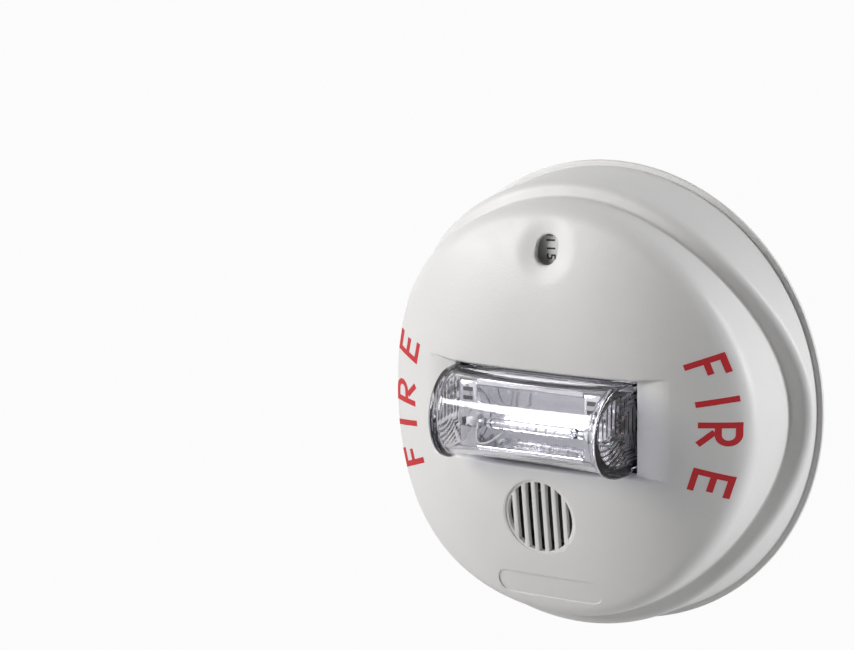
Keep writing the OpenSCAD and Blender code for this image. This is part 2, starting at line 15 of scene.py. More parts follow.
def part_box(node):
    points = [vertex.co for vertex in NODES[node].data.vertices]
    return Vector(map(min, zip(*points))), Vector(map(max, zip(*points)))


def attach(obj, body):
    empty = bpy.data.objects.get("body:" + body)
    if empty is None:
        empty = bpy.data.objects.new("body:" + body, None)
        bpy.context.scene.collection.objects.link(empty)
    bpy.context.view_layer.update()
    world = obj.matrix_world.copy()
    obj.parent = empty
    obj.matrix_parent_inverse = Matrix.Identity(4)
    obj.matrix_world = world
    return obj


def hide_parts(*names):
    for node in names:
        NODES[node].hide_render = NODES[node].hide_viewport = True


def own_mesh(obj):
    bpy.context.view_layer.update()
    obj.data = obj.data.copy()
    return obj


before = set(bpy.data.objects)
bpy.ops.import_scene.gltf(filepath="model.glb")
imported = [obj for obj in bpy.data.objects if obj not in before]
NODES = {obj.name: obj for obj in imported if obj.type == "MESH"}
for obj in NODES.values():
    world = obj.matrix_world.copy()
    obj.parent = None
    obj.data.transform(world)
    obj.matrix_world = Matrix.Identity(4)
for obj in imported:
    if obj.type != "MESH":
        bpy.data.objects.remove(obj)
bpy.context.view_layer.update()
HEAD = "head"

# Cover outline, as in the CAD: a crown that drops by powers of x and y, a step, a ledge and a drum
CROWN_H, CROWN_REF = 56.0, 75.0
DROP_X, POW_X = 22.5, 2.7
DROP_Y, POW_Y = 13.5, 3.0
STEP_R, FLANGE_R, FLANGE_T, WALL_T = 76.5, 86.4, 1.5, 2.4
DRUM_R = FLANGE_R - 2.1
LEDGE_TOP, LEDGE_DIP, LEDGE_POW, LEDGE_FALL = 30.0, 22.0, 5, 0.25
STEP_TAN, DRUM_TAN = math.tan(math.radians(4)), math.tan(math.radians(5))
SHOULDER, EDGE, CORNER = 5.0, 3.0, 1.0
COVER_SIDES, CROWN_RINGS = 480, 60

# Features of the cover
WINDOW_Y, WINDOW_W, WINDOW_H = 60.0, 8.5, 10.6
DISH_R, DISH_DEPTH = 12.6, 1.3
GRILLE_Y, GRILLE_R, GRILLE_DEPTH = -36.0, 14.25, 0.9
SLOTS, SLOT_PITCH, SLOT_W = 7, 4.1, 2.3
MARK_Y, MARK_HALF, MARK_R, MARK_DEPTH = -63.5, 21.5, 4.2, 0.4
OPENING = (37.4, 16.9)
POCKET_HALF = 16.9
POCKET_Z, PAD_Z, FLANGE_Z, GASKET_Z = 49.7, 46.6, 43.6, 45.6
LATCH_ANGLE, LATCH_BACK, SPRING_SEAT = 127.0, 60.0, 50.3

# Lens, flash tube and dial
LENS_BASE_X, LENS_FRONT_X, LENS_FRONT_Z, LENS_HALF = 36.8, 34.0, 74.0, 16.5
LENS_BASE_Z, HEEL_TOP, HEEL_R = 48, 51.8, 1.2
LENS_WALL, BARREL_IN = 2.2, 1.2
TUBE_Y, TUBE_Z, TUBE_R, TUBE_LEN, TURNS = -2.5, 57.5, 2.0, 38.0, 7
CHANNEL_X, TOWER_X = 21.8, 29.0
DIAL_Y, DIAL_TOP, FIGURE_R = 44.5, -1000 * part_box("candela_dial")[0].y, 15.5
CANDELA, SHOWN = (15, 30, 60, 75, 115, 150, 177), 4
CANDELA_STEP, FIGURE_TURN = 36, 3.0

# Printed letters: radius of their feet, height, stroke and widths
LETTER_FOOT_R, LETTER_H, LETTER_STROKE = 58.6, 13.4, 2.1
LETTER_W = {"I": 2.1, "F": 7.2, "R": 8.6, "E": 8.2}

# Camera and floor
CAMERA_AZIMUTH, CAMERA_ELEVATION, CAMERA_DISTANCE = 29.27, 12.45, 1.0
FLOOR_HALF, FLOOR_Y, FLOOR_THICK = 12000, -420, 10


# ---- Geometry helpers ------------------------------------------------------

def to_world(points):
    """Sketch frame in millimetres to the model's frame in metres."""
    p = np.asarray(points, float)
    return np.stack([p[..., 0], -p[..., 2], p[..., 1]], -1) * 0.001


def new_object(name, points, faces, material):
    """Mesh object from sketch points, with its faces turned outwards."""
    mesh = bpy.data.meshes.new(name)
    mesh.from_pydata(to_world(points).tolist(), [], faces)
    bm = bmesh.new()
    bm.from_mesh(mesh)
    bmesh.ops.recalc_face_normals(bm, faces=bm.faces)
    bm.to_mesh(mesh)
    bm.free()
    obj = bpy.data.objects.new(name, mesh)
    bpy.context.scene.collection.objects.link(obj)
    if material:
        mesh.materials.append(material)
    return obj


def loft(name, rings, material=None):
    """Solid skin over rings of equally many points, with a face over the first and last ring."""
    rings = np.asarray(rings, float)
    count, n = rings.shape[:2]
    faces = [(i * n + j, i * n + (j + 1) % n, (i + 1) * n + (j + 1) % n, (i + 1) * n + j)
             for i in range(count - 1) for j in range(n)]
    faces += [tuple(range(n - 1, -1, -1)), tuple(range((count - 1) * n, count * n))]
    return new_object(name, rings.reshape(-1, 3), faces, material)


def lathe(profile, n=48):
    """Rings of a turned part about the z axis, from [radius, height] pairs."""
    a = np.linspace(0, 2 * np.pi, n, endpoint=False)
    return np.array([[(r * np.cos(t), r * np.sin(t), z) for t in a] for r, z in profile])


def along_x(rings, centre):
    """Turns rings about z into rings about an x axis through centre."""
    return np.stack([rings[..., 2] + centre[0], rings[..., 0] + centre[1],
                     rings[..., 1] + centre[2]], -1)


def block(name, low, high, bevel, material=None):
    """Box with rounded edges."""
    x0, y0, z0 = low
    x1, y1, z1 = high
    rings = [[(x0, y0, z), (x1, y0, z), (x1, y1, z), (x0, y1, z)] for z in (z0, z1)]
    obj = loft(name, rings, material)
    modifier = obj.modifiers.new("edges", "BEVEL")
    modifier.width = bevel * 0.001
    modifier.segments = 3
    apply_modifiers(obj)
    return obj


def apply_modifiers(obj):
    """Makes an object's modified shape its own mesh."""
    graph = bpy.context.evaluated_depsgraph_get()
    mesh = bpy.data.meshes.new_from_object(obj.evaluated_get(graph), depsgraph=graph)
    obj.modifiers.clear()
    obj.data = mesh


def combine(target, tool, operation="DIFFERENCE"):
    """Boolean of target with tool, which is used up."""
    modifier = target.modifiers.new("combine", "BOOLEAN")
    modifier.operation = operation
    modifier.solver = "MANIFOLD"
    modifier.object = tool
    apply_modifiers(target)
    bpy.data.objects.remove(tool)


def piece(obj, body=HEAD, angle=35, replaces=()):
    """Finishes a piece: smooth faces, its body and the nodes it stands for."""
    obj.data.shade_smooth()
    obj.data.set_sharp_from_angle(angle=math.radians(angle))
    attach(obj, body)
    if replaces:
        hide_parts(*replaces)
    return obj


def bend(points, r, sides=10):
    """Rings of a round wire of radius r along points."""
    p = np.asarray(points, float)
    tangent = np.gradient(p, axis=0)
    tangent /= np.linalg.norm(tangent, axis=1, keepdims=True)
    side = np.cross(tangent[0], (0.3, 0.5, 0.8))
    rings = []
    for i, t in enumerate(tangent):
        side = side - t * np.dot(side, t)
        side /= np.linalg.norm(side)
        other = np.cross(t, side)
        rings.append([p[i] + r * (np.cos(a) * side + np.sin(a) * other)
                      for a in np.linspace(0, 2 * np.pi, sides, endpoint=False)])
    return np.array(rings)


def spline(knots, count):
    """Smooth curve of count points through knots."""
    knots = np.asarray(knots, float)
    padded = np.vstack([2 * knots[0] - knots[1], knots, 2 * knots[-1] - knots[-2]])
    out = []
    for t in np.linspace(0, len(knots) - 1 - 1e-9, count):
        i, u = int(t), t - int(t)
        a, b, c, d = padded[i:i + 4]
        out.append(0.5 * (2 * b + (c - a) * u + (2 * a - 5 * b + 4 * c - d) * u * u
                          + (3 * b - a - 3 * c + d) * u ** 3))
    return np.array(out)


def edge_normals(edges):
    """Unit vectors square to the edges of an outline, pointing out of it."""
    return np.stack([edges[:, 1], -edges[:, 0]], 1) / np.linalg.norm(edges, axis=1, keepdims=True)


def offset(outline, distance):
    """Closed outline moved outwards by distance."""
    p = np.asarray(outline, float)
    n0, n1 = edge_normals(p - np.roll(p, 1, 0)), edge_normals(np.roll(p, -1, 0) - p)
    normal = n0 + n1
    normal /= np.linalg.norm(normal, axis=1, keepdims=True)
    stretch = np.clip((normal * n0).sum(1, keepdims=True), 0.5, 1)
    return p + normal * distance / stretch


def rounded_rectangle(half_x, half_y, r, cy=0.0, spacing=2.0):
    """Counter-clockwise outline with points along its straight sides too."""
    steps = 8
    corners = [(half_x - r, half_y - r, 0), (r - half_x, half_y - r, 90),
               (r - half_x, r - half_y, 180), (half_x - r, r - half_y, 270)]
    points = []
    for x, y, start in corners:
        for k in range(steps + 1):
            a = math.radians(start + 90 * k / steps)
            new = (x + r * math.cos(a), cy + y + r * math.sin(a))
            if points and k == 0:
                points += between(points[-1], new, spacing)
            points.append(new)
    return np.array(points + between(points[-1], points[0], spacing))


def between(a, b, spacing):
    """Points strictly between a and b."""
    count = int(math.dist(a, b) / spacing)
    return [(a[0] + (b[0] - a[0]) * k / (count + 1), a[1] + (b[1] - a[1]) * k / (count + 1))
            for k in range(1, count + 1)]


def lipped_cutter(name, outline, surface, lip, floor, start=22, reach=2.5):
    """Solid that cuts an opening whose rim is rounded by lip, down to the height floor.

    Above the rim it flares out by reach, along the line that meets the rounding at start degrees.
    """
    def ring(distance, height):
        q = offset(outline, distance)
        return np.column_stack([q, surface(q[:, 0], q[:, 1]) + height])
    first = math.radians(start)
    wide = ring(lip * (1 - math.sin(first)) + reach * math.cos(first),
                reach * math.sin(first) - lip * (1 - math.cos(first)))
    lid = wide.copy()
    lid[:, 2] = wide[:, 2].max() + 1.5 * reach
    rings = [lid, wide]
    for t in np.linspace(first, np.pi / 2, 6):
        rings.append(ring(lip * (1 - math.sin(t)), -lip * (1 - math.cos(t))))
    outline = np.asarray(outline, float)
    rings.append(np.column_stack([outline, np.full(len(outline), float(floor))]))
    return loft(name, rings)


# ---- Cover -----------------------------------------------------------------

def crown(x, y):
    """Height of the cover's domed front at x, y."""
    return (CROWN_H - DROP_X * np.abs(np.asarray(x, float) / CROWN_REF) ** POW_X
            - DROP_Y * np.abs(np.asarray(y, float) / CROWN_REF) ** POW_Y)


def crown_tilt(y):
    """Angle of the crown's normal from straight out, on the centre line at height y."""
    slope = POW_Y * DROP_Y / CROWN_REF * abs(y / CROWN_REF) ** (POW_Y - 1)
    return -math.copysign(math.atan(slope), y)


def on_crown(rings, y):
    """Moves rings drawn round the origin on to the crown, square to its surface at height y."""
    rings = np.asarray(rings, float)
    c, s = math.cos(crown_tilt(y)), math.sin(crown_tilt(y))
    u, v, w = rings[..., 0], rings[..., 1], rings[..., 2]
    return np.stack([u, y + v * c - w * s, float(crown(0, y)) + v * s + w * c], -1)


def polar_crown(r, a):
    """Height of the crown at radius r and angle a."""
    return crown(r * np.cos(a), r * np.sin(a))


def curve(a, b, c, count):
    """Points along a curve that leaves a towards b and arrives at c."""
    a, b, c = (np.asarray(v, float) for v in (a, b, c))
    t = np.linspace(0, 1, count + 1)[1:, None]
    return list((1 - t) ** 2 * a + 2 * t * (1 - t) * b + t * t * c)


def step_foot(a):
    """Height of the foot of the step at angle a, which waves round the cover."""
    return LEDGE_TOP - LEDGE_DIP * abs(math.cos(a)) ** LEDGE_POW


def ledge_height(foot, r):
    """Height at radius r of the ledge that slopes out from the foot of the step."""
    return foot - LEDGE_FALL * (r - STEP_R)


def drum_edge(foot):
    """Radius at which the sloping ledge meets the sloping drum."""
    return ((DRUM_R - (foot + LEDGE_FALL * STEP_R - FLANGE_T) * DRUM_TAN)
            / (1 - LEDGE_FALL * DRUM_TAN))


def outer_line(a):
    """Outer outline at angle a as [radius, height], from near the centre to the wall."""
    shoulder, foot = CROWN_REF, step_foot(a)
    for _ in range(12):
        shoulder = STEP_R - (float(polar_crown(shoulder, a)) - foot) * STEP_TAN
    edge = drum_edge(foot)
    start, top = shoulder - SHOULDER, float(polar_crown(shoulder, a))
    line = [(r, float(polar_crown(r, a))) for r in np.linspace(3, start, CROWN_RINGS)]
    line += curve(line[-1], (shoulder, top), (shoulder + SHOULDER * STEP_TAN, top - SHOULDER), 12)
    low = (STEP_R - CORNER * STEP_TAN, foot + CORNER)
    line += [np.asarray(line[-1]) * (1 - f) + np.asarray(low) * f for f in (0.33, 0.67)] + [low]
    line += curve(low, (STEP_R, foot), (STEP_R + CORNER, ledge_height(foot, STEP_R + CORNER)), 6)
    line += [(edge - EDGE, ledge_height(foot, edge - EDGE))]
    rim = ledge_height(foot, edge)
    line += curve(line[-1], (edge, rim), (edge + EDGE * DRUM_TAN, rim - EDGE), 9)
    foot_line = np.asarray(line[-1]) * 0.5 + np.array([DRUM_R, FLANGE_T + 0.5]) * 0.5
    line += [foot_line, (DRUM_R, FLANGE_T + 0.5)]
    line += curve((DRUM_R, FLANGE_T + 0.5), (DRUM_R, FLANGE_T), (DRUM_R + 0.5, FLANGE_T), 3)
    line += curve((FLANGE_R - 0.6, FLANGE_T), (FLANGE_R, FLANGE_T), (FLANGE_R, FLANGE_T - 0.6), 4)
    return [tuple(p) for p in line] + [(FLANGE_R, 0.3), (FLANGE_R - 0.3, 0)]


def inner_line(a):
    """Inner outline at angle a, from the wall back to near the centre."""
    shoulder = outer_line(a)[CROWN_RINGS - 1][0] + SHOULDER
    foot = step_foot(a)
    edge = drum_edge(foot)
    top = ledge_height(foot, edge)
    rs = shoulder - WALL_T
    line = [(DRUM_R - WALL_T, 0), (edge - WALL_T + 0.1, top - WALL_T - 1.5),
            (edge - WALL_T - 1.5, top - WALL_T + 0.3), (STEP_R - WALL_T, foot - WALL_T),
            (rs, float(polar_crown(shoulder, a)) - WALL_T - 3)]
    line += [(f * rs, float(polar_crown(f * rs, a)) - WALL_T) for f in (0.96, 0.85, 0.65, 0.45, 0.25)]
    return line


def window_dish(points):
    """Soft round hollow in the crown with the candela window at its centre."""
    p = np.array(points)
    d = np.hypot(p[..., 0], p[..., 1] - WINDOW_Y) / DISH_R
    flat_middle = 0.15
    t = np.clip((1 - d) / (1 - flat_middle), 0, 1)
    p[..., 2] -= DISH_DEPTH * t * t * (3 - 2 * t)
    return p


def cover_shell(material):
    """Cover without its openings, as one skin over the outlines at all angles."""
    angles = np.arange(COVER_SIDES) * 2 * np.pi / COVER_SIDES
    outer = np.array([outer_line(a) for a in angles])
    inner = np.array([inner_line(a) for a in angles])
    lines = np.concatenate([outer, inner], 1).transpose(1, 0, 2)
    rings = np.stack([lines[..., 0] * np.cos(angles), lines[..., 0] * np.sin(angles),
                      lines[..., 1]], -1)
    rings[:CROWN_RINGS] = window_dish(rings[:CROWN_RINGS])
    return loft("cover_shell", rings, material)


def lens_pad():
    """Block behind the lens pocket, whose top stays inside the crown's wall."""
    y = 19.2
    rings = [[(x, -y, PAD_Z), (x, y, PAD_Z), (x, y, crown(x, y) - 1.1), (x, -y, crown(x, y) - 1.1)]
             for x in np.linspace(-47, 47, 40)]
    return loft("lens_pad", rings)


def pocket_floor(x, y):
    """Flat floor beside the lens that runs out softly into the crown."""
    soft = 1.6
    top = crown(x, y) + 0.04
    h = np.clip(0.5 + 0.5 * (top - POCKET_Z) / soft, 0, 1)
    return top * (1 - h) + POCKET_Z * h - soft * h * (1 - h)


def lens_pocket():
    """Cutter for the pocket that the lens stands in. It widens a little towards its ends."""
    rings = []
    for x in np.linspace(-54, 54, 145):
        half = POCKET_HALF + 1.4 * float(np.clip((abs(x) - 37) / 12, 0, 1))
        floor = [(x, y, float(pocket_floor(x, y))) for y in np.linspace(-half, half, 25)]
        low = floor[0][2]
        depth = max(float(crown(x, half)) - low, 0)
        side = [(0.1, 0.35 * depth), (0.35, 0.75 * depth), (0.8, 0.95 * depth),
                (1.5, depth + 0.12), (3.0, depth + 0.8), (3.0, 75 - low)]
        rim = [(x, half + d, low + h) for d, h in side]
        rings.append(floor + rim + [(x, -y, z) for _, y, z in reversed(rim)])
    return loft("lens_pocket", rings)


def slot_outline(x):
    """Straight-sided grille slot whose ends follow the round facet."""
    r, w = GRILLE_R - 1.0, SLOT_W / 2
    across = np.linspace(min(x + w, r - 0.03), max(x - w, 0.03 - r), 9)
    top = [(u, math.sqrt(r * r - u * u)) for u in across]
    return top + [(u, -v) for u, v in reversed(top)]


def flat_surface(height):
    """Surface of one height, for lipped_cutter."""
    return lambda x, y: np.full(np.shape(x), float(height))


def grille_cuts():
    """Cutters for the round facet and the slots in it."""
    rim = [(GRILLE_R * math.cos(a), GRILLE_R * math.sin(a))
           for a in np.linspace(0, 2 * np.pi, 96, endpoint=False)]
    cuts = [lipped_cutter("facet", rim, flat_surface(0), 0.3, -GRILLE_DEPTH, start=40)]
    for i in range(SLOTS):
        outline = slot_outline((i - (SLOTS - 1) / 2) * SLOT_PITCH)
        cuts.append(lipped_cutter(f"slot_{i}", outline, flat_surface(-GRILLE_DEPTH), 0.25, -6))
    for cut in cuts:
        co = np.array([v.co for v in cut.data.vertices]) * 1000
        sketch = np.stack([co[:, 0], co[:, 2], -co[:, 1]], -1)
        for vertex, place in zip(cut.data.vertices, to_world(on_crown(sketch, GRILLE_Y))):
            vertex.co = place
    return cuts


def blank_mark():
    """Shallow round-ended hollow below the grille, left plain."""
    lip = ((0.12, -0.15), (0.5, 0.12), (1.5, 2))
    rings = []
    for x in np.sin(np.linspace(-np.pi / 2, np.pi / 2, 61)) * (MARK_HALF - 0.02):
        end = max(0.0, abs(x) - (MARK_HALF - MARK_R))
        half = math.sqrt(MARK_R ** 2 - end ** 2) + 0.02
        y = MARK_Y + half * np.linspace(-1, 1, 9)
        floor = [(x, v, float(crown(x, v)) - MARK_DEPTH) for v in y]
        rim = [(x, MARK_Y + s * (half + d), float(crown(x, MARK_Y + s * (half + d))) + h)
               for s, steps in ((1, lip), (-1, lip[::-1])) for d, h in steps]
        rings.append(floor + rim)
    return loft("blank_mark", rings)


def latch_axes():
    """Unit vectors outwards through the latch and across it."""
    a = math.radians(LATCH_ANGLE)
    return np.array([math.cos(a), math.sin(a), 0]), np.array([-math.sin(a), math.cos(a), 0])


def release_slot():
    """Small opening in the drum that lets a screwdriver reach the latch."""
    out, side = latch_axes()
    outline = rounded_rectangle(2.6, 1.0, 0.95, spacing=1)
    rings = [[out * r + side * u + np.array([0, 0, 10 + v]) for u, v in offset(outline, grow)]
             for r, grow in ((78, 0), (83.2, 0), (83.6, 0.15), (84.6, 1.1))]
    return loft("release_slot", rings)


def dished_crown(x, y):
    """Height of the crown with the window's hollow in it."""
    return window_dish(np.stack([x, y, crown(x, y)], -1))[..., 2]


def cover(material):
    """Cover with its pad, pocket, openings and hollows, cut one after another."""
    shell = cover_shell(material)
    combine(shell, lens_pad(), "UNION")
    combine(shell, lens_pocket())
    inside = 40
    opening = rounded_rectangle(*OPENING, 1.0)
    combine(shell, lipped_cutter("opening", opening, flat_surface(POCKET_Z), 0.25, inside, reach=0.2))
    window = rounded_rectangle(WINDOW_W / 2, WINDOW_H / 2, WINDOW_W / 2 - 0.01, WINDOW_Y)
    combine(shell, lipped_cutter("window", window, dished_crown, 0.7, inside))
    for cut in grille_cuts():
        combine(shell, cut)
    combine(shell, blank_mark())
    combine(shell, release_slot())
    return piece(shell, replaces=("cover",), angle=40)


# ---- Lens ------------------------------------------------------------------

def lean(z):
    """Share of its x at the base that a point of the lens keeps at height z, as the ends lean in."""
    rise = np.asarray(z, float) - LENS_BASE_Z
    return 1 - (1 - LENS_FRONT_X / LENS_BASE_X) * rise / (LENS_FRONT_Z - LENS_BASE_Z)


def heel(z):
    """How far the foot of the lens is rounded in, just above the floor of its pocket."""
    t = min(max((HEEL_TOP - z) / 1.5, 0), 1)
    return HEEL_R * (1 - math.sqrt(1 - t * t))


def leaned(x, z):
    """Place along the lens of a point at height z that would be at x if the ends stood straight."""
    if abs(x) > LENS_BASE_X - 0.8:
        x = math.copysign(max(abs(x) - heel(z), 0.01), x)
    return x * float(lean(z))


def half_round(x, half, top, low, skirt=0.0):
    """Section of the lens at x: straight sides and a half-round front, as a closed ring.

    skirt widens the foot of the sides, just below the surface of the cover.
    """
    arc = [(half * math.cos(a), top - half + half * math.sin(a)) for a in np.linspace(0, np.pi, 41)]
    wide = half + skirt
    foot = [(half, 56.2), (half + 0.25 * skirt, 55.9), (wide - 0.2 * skirt, 55.6), (wide, 55.2),
            (wide, 53)]
    foot += [(wide - heel(z), z) for z in (HEEL_TOP, 51.3, 50.9, 50.6, 50.4, 50.3, low)]
    inner = wide - heel(low)
    base = [(-inner + 2 * inner * t, low) for t in np.linspace(0, 1, 9)[1:-1]]
    left = [(-y, z) for y, z in foot]
    return [(leaned(x, z), y, z) for y, z in arc + left + base + foot[::-1]]


def waist(x):
    """How much slimmer the barrel is at x than at its ends."""
    return 0.9 * (1 - min(1, abs(x) / 33) ** 2)


def mirrored(stations):
    """Stations along x for both halves, from those of the right half."""
    return [(-x, *rest) for x, *rest in stations] + stations[::-1]


def lens_outside():
    """Rings of the lens's outside: proud end plates with a slimmer barrel between them."""
    plate = [(36.8, 1.0), (36.72, 0.62), (36.5, 0.3), (36.2, 0.1), (35.8, 0), (34.6, 0), (34.3, 0.08),
             (34.05, 0.3), (33.9, 0.7), (33.7, 1.0), (33.3, BARREL_IN)]
    barrel = [(x, BARREL_IN + waist(x)) for x in np.linspace(32.4, 0.6, 22)]
    return [half_round(x, LENS_HALF - inset, LENS_FRONT_Z - inset, GASKET_Z - 1,
                       max(0.0, inset - 0.3) if abs(x) < 35 else 0.0)
            for x, inset in mirrored(plate + barrel)]


def ridges(y, z):
    """Depth of the prisms moulded inside the lens's ends at a point of the end wall."""
    straight = np.abs(((z - LENS_BASE_Z) / 2.6) % 1 - 0.5) * 2
    arcs = np.abs((np.hypot(y - 6, z - 66) / 1.9) % 1 - 0.5) * 2
    upper = np.clip((y + 1) / 1.2, 0, 1)
    lower = np.clip((-y - 2) / 1.2, 0, 1)
    return 0.6 * straight * upper + 0.5 * arcs * lower


def lens_inside():
    """Rings of the hollow in the lens, with the prisms in its end walls."""
    end = LENS_BASE_X - LENS_WALL - 0.4
    half, top = LENS_HALF - BARREL_IN - LENS_WALL, LENS_FRONT_Z - BARREL_IN - LENS_WALL
    stations = np.concatenate([np.linspace(-end, -33, 3), np.linspace(-32, 32, 41),
                               np.linspace(33, end, 3)])
    body = np.array([half_round(x, half - waist(x), top - waist(x), FLANGE_Z - 1) for x in stations])
    centre = np.array([0, 0, 60.0])
    wall = []
    for f in np.linspace(0.985, 0.02, 56):
        ring = centre + (body[0] - centre) * (1, f, f)
        ring[:, 0] = -end * lean(ring[:, 2]) + ridges(ring[:, 1], ring[:, 2]) * min(1, (1 - f) * 12)
        wall.append(ring)
    left = np.array(wall[::-1])
    right = np.array(wall) * (-1, 1, 1)
    return np.concatenate([left, body, right])


def lens(material):
    """Hollow lens with the flange that holds it behind the cover."""
    glass = loft("lens_shell", lens_outside(), material)
    flange = block("flange", (-40.5, -18.4, FLANGE_Z), (40.5, 18.4, GASKET_Z), 0.4)
    combine(glass, flange, "UNION")
    combine(glass, loft("lens_hollow", lens_inside()))
    return piece(glass, angle=32, replaces=("lens",))


# ---- Flash tube and reflector ----------------------------------------------

def trough_section():
    """Section of the mirror: a smooth hollow with a flat lip along each edge."""
    y = np.linspace(-10.9, 10.9, 45)
    rise = 0.0825 * y * y
    hollow = [(v, 49.6 + up) for v, up in zip(y, rise)]
    back = [(v, 48.4 + up * 0.97) for v, up in zip(y[::-1], rise[::-1])]
    return ([(-12.4, 59.7), (-12.2, 59.9), (-11.2, 59.9), (-11.0, 59.75)] + hollow
            + [(11.0, 59.75), (11.2, 59.9), (12.2, 59.9), (12.4, 59.7), (12.3, 58.9), (11.4, 58.6)]
            + back + [(-11.4, 58.6), (-12.3, 58.9)])


def trough(material):
    """Mirror's trough, between its two end towers."""
    section = trough_section()
    rings = [[(x, y, z) for y, z in section] for x in np.linspace(-CHANNEL_X, CHANNEL_X, 24)]
    return piece(loft("mirror_trough", rings, material), replaces=("reflector",))


def tower(side, material):
    """End of the mirror, with a notch for the tube and three narrow slots."""
    inner, outer, wall, half_y, top = CHANNEL_X + 0.2, TOWER_X, 1.2, 12, 59.6
    x0, x1 = sorted((side * inner, side * outer))
    middle = side * (inner + outer) / 2
    name = "mirror_end_left" if side < 0 else "mirror_end_right"
    body = block(name, (x0, -half_y, 47.2), (x1, half_y, top), 0.6, material)
    combine(body, block("cavity", (x0 + wall, wall - half_y, 46),
                        (x1 - wall, half_y - wall, top - wall), 0.5))
    notch = along_x(lathe([(2.6, -12), (2.6, 12)]), (side * 26, TUBE_Y, TUBE_Z))
    combine(body, loft("notch", notch))
    combine(body, block("throat", (middle - 1.6, TUBE_Y - 1.9, TUBE_Z),
                        (middle + 1.6, TUBE_Y + 1.9, 61), 0.2))
    for y in (3.2, 6.2, 9.2):
        combine(body, block("louvre", (middle - 2, y - 0.7, 58), (middle + 2, y + 0.7, 61), 0.2))
    return piece(body)


def flash_tube(material):
    """Glass tube with drawn-in ends."""
    half, r = TUBE_LEN / 2, TUBE_R
    ends = [(0.35, half), (1.1, half - 0.1), (1.7, half - 0.6), (r, half - 1.6)]
    bore = [(0.2, half - 2.0), (0.9, half - 2.1), (1.3, half - 2.6), (r - 0.5, half - 3.4)]
    outside = [(q, -h) for q, h in ends] + [(r, 0)] + ends[::-1]
    inside = [(q, -h) for q, h in bore] + [(r - 0.5, 0)] + bore[::-1]
    centre = (0, TUBE_Y, TUBE_Z)
    glass = loft("tube_glass", along_x(lathe(outside), centre), material)
    combine(glass, loft("bore", along_x(lathe(inside), centre)))
    return piece(glass, replaces=("flash_tube",))


def electrodes(metal, bead):
    """Caps, sealed pins and the pale beads that cover the soldered ends."""
    half = TUBE_LEN / 2
    profile = [(0.2, half - 3.6), (0.8, half - 3.5), (0.9, half - 2.6), (0.5, half - 2.3),
               (0.5, half + 0.2), (1.4, half + 0.3), (1.7, half + 0.8), (1.6, half + 2.4),
               (0.6, half + 2.9), (0.45, half + 6), (0.2, half + 6.1)]
    drop = [(0.3, -3.2), (1.6, -2.8), (2.6, -1.6), (3.0, 0.1), (2.7, 1.7), (1.7, 2.8), (0.3, 3.3)]
    for side, label in ((-1, "left"), (1, "right")):
        rings = along_x(lathe(profile, 32), (0, 0, 0)) * (side, 1, 1) + (0, TUBE_Y, TUBE_Z)
        pin = piece(loft(f"electrode_{label}", rings, metal))
        if side < 0:
            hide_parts("tube_electrodes")
        round_bead = along_x(lathe(drop, 32), (side * (half + 5.2), TUBE_Y + 0.6, TUBE_Z - 0.4))
        piece(loft(f"electrode_bead_{label}", round_bead, bead))


def trigger_winding(material):
    """Fine wire wound round the tube, tied off at its left end."""
    steps = np.linspace(0, 1, TURNS * 28 + 1)
    angle = steps * TURNS * 2 * np.pi
    half, r = 13.5, TUBE_R + 0.22
    coil = np.stack([half * (2 * steps - 1), TUBE_Y + r * np.cos(angle), TUBE_Z + r * np.sin(angle)], -1)
    tail = spline([(-23.5, 5.5, 58.6), (-20, 4.8, 59.6), (-17, 2.6, 59.4), tuple(coil[0])], 24)
    wire = loft("trigger_winding", bend(np.vstack([tail[:-1], coil]), 0.17, 8), material)
    return piece(wire, replaces=("trigger_wire",))


def tube_leads(material):
    """Insulated leads from the tube's pins down to the board, and the loose lead of its wire."""
    for side, label in ((-1, "left"), (1, "right")):
        route = spline([(side * 25.2, TUBE_Y, 56.5), (side * 25.1, TUBE_Y - 0.4, 52),
                        (side * 25, TUBE_Y, 47), (side * 25, TUBE_Y, 34), (side * 25, TUBE_Y, 19.7)], 40)
        lead = piece(loft(f"tube_lead_{label}", bend(route, 0.6), material))
        if side < 0:
            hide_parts("tube_leads")
    loop = spline([(-20.6, -2.0, 60.4), (-21.2, -6.5, 60.6), (-20.4, -9.6, 60.4), (-17.0, -9.2, 59.6),
                   (-13.6, -6.6, 57.6), (-12.4, -4.9, 55.4)], 40)
    piece(loft("trigger_lead", bend(loop, 0.42), material))


# ---- Latch spring ----------------------------------------------------------

def latch_spring(material):
    """Coil spring behind the latch, drawn at one fixed length."""
    turns, coil_r, wire_r, clearance = 6, 1.4, 0.25, 0.3
    start, end, height, travel = SPRING_SEAT, LATCH_BACK - clearance, 4.4, 3.0
    out, side = latch_axes()
    steps = np.linspace(0, 1, turns * 24 + 1)
    turn = (steps * turns * 2 * np.pi)[:, None]
    along = (start + wire_r + (end - start - 2 * wire_r) * steps)[:, None]
    rise = (height + coil_r * np.sin(turn)) * np.array([0, 0, 1])
    route = along * out + coil_r * np.cos(turn) * side + rise
    spring = piece(loft("latch_coil", bend(route, wire_r, 8), material), body="root",
                   replaces=("latch_spring",))
    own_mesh(spring)


# ---- Printed word and dial figures -----------------------------------------

def stroke(points, width):
    """Two rows of points either side of a centre line."""
    p = np.asarray(points, float)
    t = np.gradient(p, axis=0)
    t /= np.linalg.norm(t, axis=1, keepdims=True)
    n = np.stack([-t[:, 1], t[:, 0]], 1) * width / 2
    return p + n, p - n


def straight(a, b, count=9):
    return np.linspace(a, b, count)


